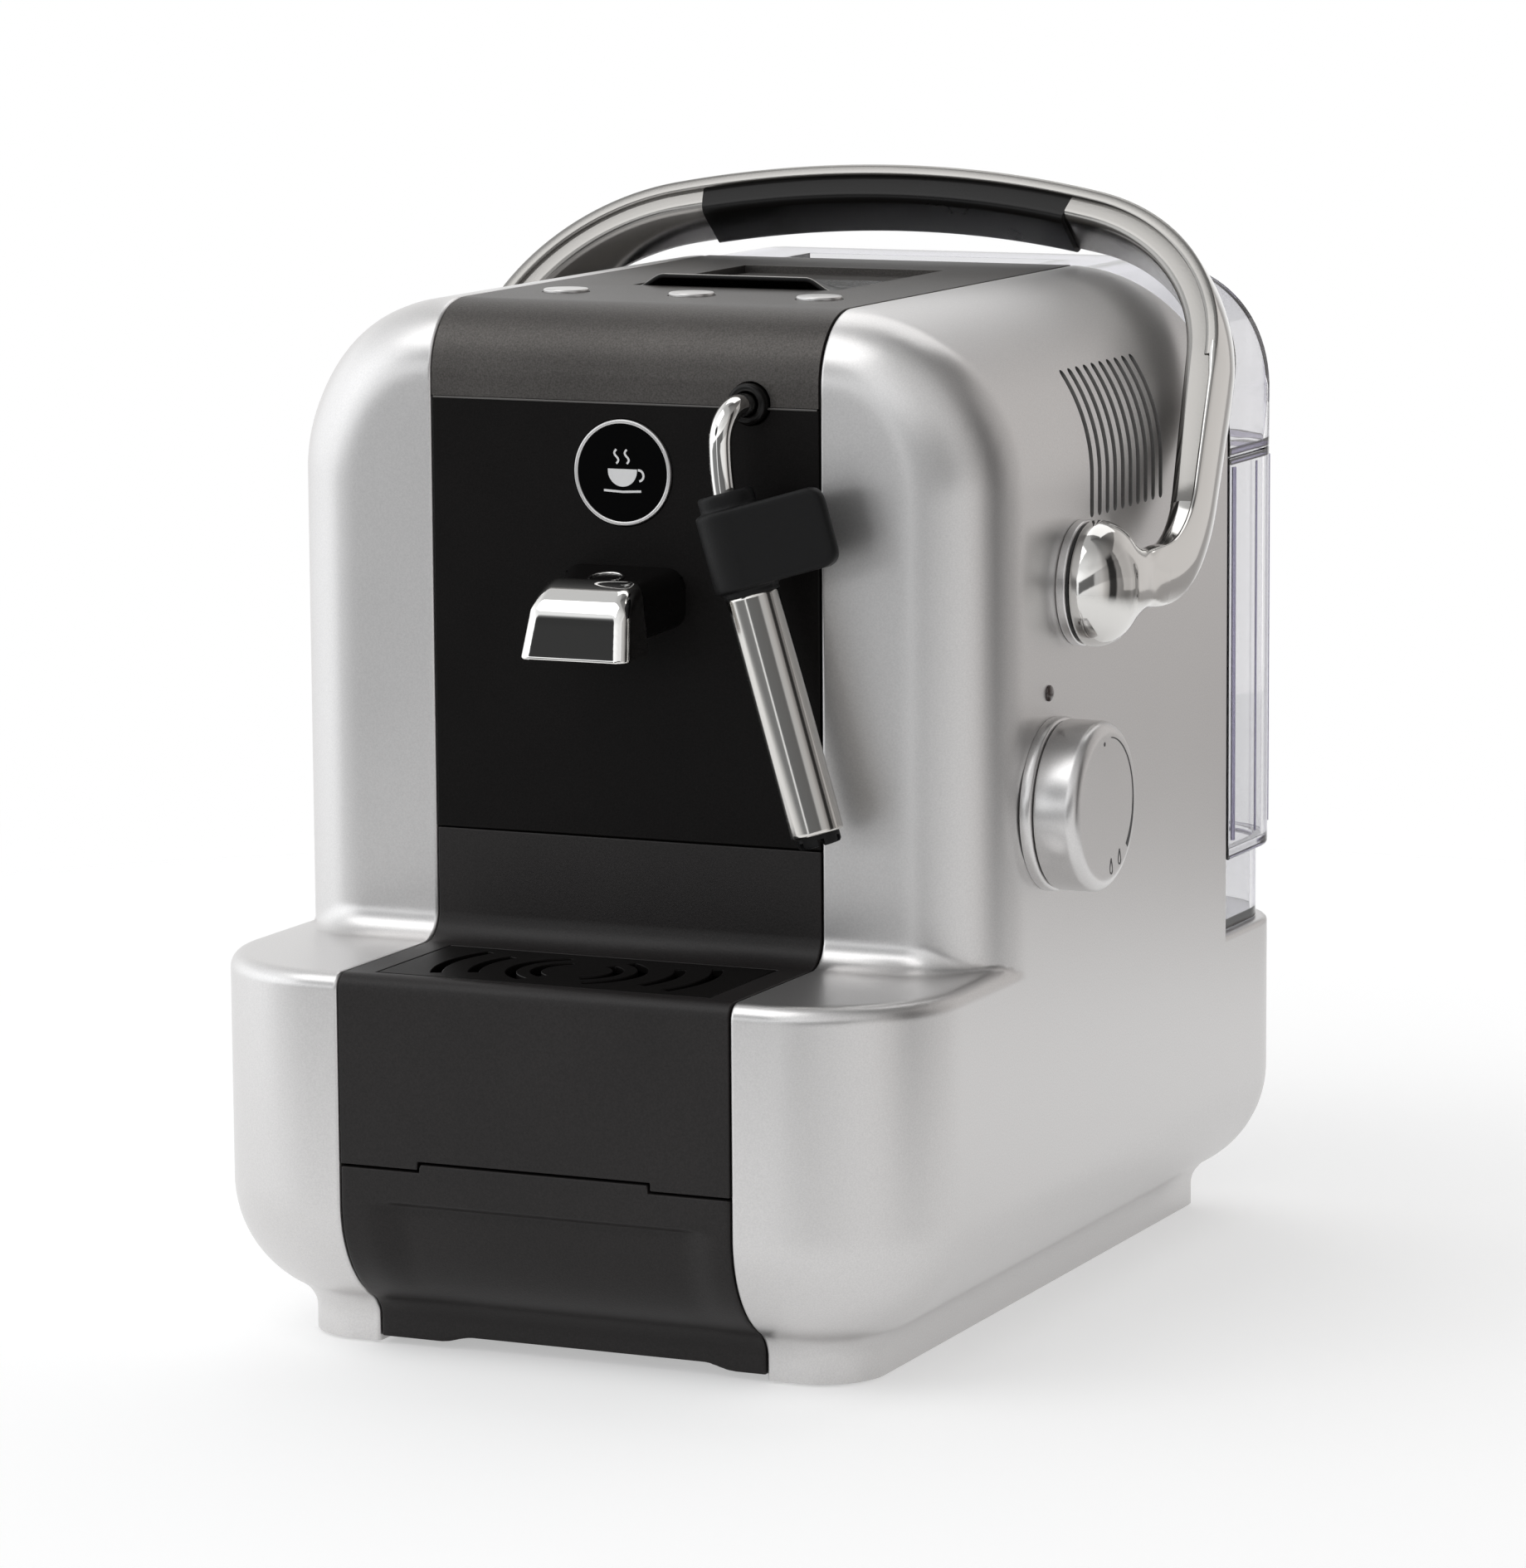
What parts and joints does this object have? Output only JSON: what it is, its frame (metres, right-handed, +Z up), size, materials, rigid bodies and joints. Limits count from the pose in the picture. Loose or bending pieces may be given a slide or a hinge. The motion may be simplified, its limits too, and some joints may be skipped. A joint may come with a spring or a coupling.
{
  "type": "pod coffee machine",
  "caption": "Compact pod coffee machine: lift-over chrome lever, black centre strip, satin side shells, steam wand and knob, drip tray, capsule drawer, clear rear water tank.",
  "frame": {"origin": "middle of the machine's footprint on the surface it stands on", "axes": "+X to the machine's right as seen from the front, +Y to the rear, +Z up"},
  "size_m": [0.2244, 0.266, 0.2789],
  "materials": {
    "silver_shell": "satin silver paint",
    "black_panel": "fine-textured satin black",
    "black_gloss": "gloss black",
    "black_inner": "plain moulded black",
    "chrome": "polished chrome",
    "satin_metal": "satin metal",
    "polished_steel": "polished steel",
    "frame_steel": "plain sheet steel",
    "brass": "machined brass",
    "boiler_metal": "cast aluminium",
    "grip_rubber": "matte black rubber",
    "foot_rubber": "matte black rubber",
    "hose": "translucent white silicone",
    "board": "green circuit board",
    "lamp": "dark red lens, unlit",
    "clear_tank": "clear plastic with a violet tint",
    "valve_plastic": "white moulded plastic"
  },
  "bodies": {
    "body": {"base_plate": "black_inner", "rubber_feet": "foot_rubber", "base_screws": "frame_steel", "left_shell": "silver_shell", "right_shell": "silver_shell", "front_panel": "black_panel", "top_cover": "black_gloss", "rear_panel": "black_panel", "rear_screws": "frame_steel", "chassis": "frame_steel", "brew_frame": "frame_steel", "brew_chamber": "black_inner", "coffee_duct": "hose", "boiler": "boiler_metal", "pump": "black_inner", "pump_mounts": "foot_rubber", "water_hose": "hose", "pump_hose": "hose", "brew_hose": "hose", "steam_feed_hose": "hose", "steam_hose": "hose", "steam_valve": "brass", "circuit_board": "board", "control_board": "board", "badge_ring": "chrome", "badge_disc": "black_gloss", "spout_hood": "black_panel", "spout_cover": "chrome", "spout_outlets": "black_inner", "hood_inset": "chrome", "wand_gland": "black_inner", "pilot_lamp": "lamp", "knob_base": "satin_metal", "hub_bosses": "satin_metal", "hub_washers": "black_inner", "tank_seat": "grip_rubber", "inlet_socket": "black_inner", "inlet_pins": "brass"},
    "lever": {"lever_shaft": "frame_steel", "lever_bail": "chrome", "lever_grip": "grip_rubber"},
    "plunger": {"plunger": "brass"},
    "hatch": {"capsule_hatch": "black_gloss"},
    "left_key": {"button_left": "satin_metal"},
    "middle_key": {"button_middle": "satin_metal"},
    "right_key": {"button_right": "satin_metal"},
    "knob": {"steam_knob": "satin_metal", "knob_shaft": "frame_steel"},
    "wand": {"wand_tube": "chrome", "wand_grip": "grip_rubber", "wand_sleeve": "polished_steel", "wand_nozzle": "black_inner"},
    "tray": {"drip_tray": "black_panel"},
    "grid": {"drip_grid": "black_panel"},
    "drawer": {"drawer_front": "black_panel", "capsule_bin": "black_inner"},
    "tank": {"water_tank": "clear_tank", "tank_valve": "valve_plastic"},
    "lid": {"tank_lid": "clear_tank"},
    "rocker": {"power_switch": "black_gloss"}
  },
  "joints": [
    {"name": "lever_swing", "type": "hinge", "parent": "body", "child": "lever", "pos_m": [0, -0.022, 0.1849], "axis": [1, 0, 0], "range_deg": [0, 80]},
    {"name": "plunger_slide", "type": "slide", "parent": "body", "child": "plunger", "axis": [0, 1, 0], "range_m": [0, 0.0121]},
    {"name": "hatch_slide", "type": "slide", "parent": "body", "child": "hatch", "axis": [0, 1, 0], "range_m": [0, 0.0321]},
    {"name": "left_button_press", "type": "slide", "parent": "body", "child": "left_key", "axis": [0, 0, -1], "range_m": [0, 0.0007], "stiffness_N_per_m": 400, "springref_m": -0.0005},
    {"name": "middle_button_press", "type": "slide", "parent": "body", "child": "middle_key", "axis": [0, 0, -1], "range_m": [0, 0.0007], "stiffness_N_per_m": 400, "springref_m": -0.0005},
    {"name": "right_button_press", "type": "slide", "parent": "body", "child": "right_key", "axis": [0, 0, -1], "range_m": [0, 0.0007], "stiffness_N_per_m": 400, "springref_m": -0.0005},
    {"name": "steam_knob_turn", "type": "hinge", "parent": "body", "child": "knob", "pos_m": [0.096, -0.039, 0.1326], "axis": [1, 0, 0], "range_deg": [-90, 90]},
    {"name": "wand_swing", "type": "hinge", "parent": "body", "child": "wand", "pos_m": [0.034, -0.079, 0.232], "axis": [0, -1, 0], "range_deg": [-17, 35]},
    {"name": "drip_tray_pull", "type": "slide", "parent": "body", "child": "tray", "axis": [0, -1, 0], "range_m": [0, 0.095]},
    {"name": "drip_grid_lift", "type": "slide", "parent": "tray", "child": "grid", "axis": [0, 0, 1], "range_m": [0, 0.025]},
    {"name": "capsule_drawer_pull", "type": "slide", "parent": "body", "child": "drawer", "axis": [0, -1, 0], "range_m": [0, 0.12]},
    {"name": "tank_remove", "type": "slide", "parent": "body", "child": "tank", "axis": [0, 1, 0], "range_m": [0, 0.07]},
    {"name": "tank_lid_remove", "type": "slide", "parent": "tank", "child": "lid", "axis": [0, 0.9659, 0.2588], "range_m": [0, 0.06]},
    {"name": "power_rocker", "type": "hinge", "parent": "body", "child": "rocker", "pos_m": [-0.024, 0.123, 0.058], "axis": [1, 0, 0], "range_deg": [0, 16]}
  ],
  "couplings": [
    {"joint": "plunger_slide", "follows": "lever_swing", "m_per_rad": 0.0086},
    {"joint": "hatch_slide", "follows": "lever_swing", "m_per_rad": 0.0229}
  ]
}
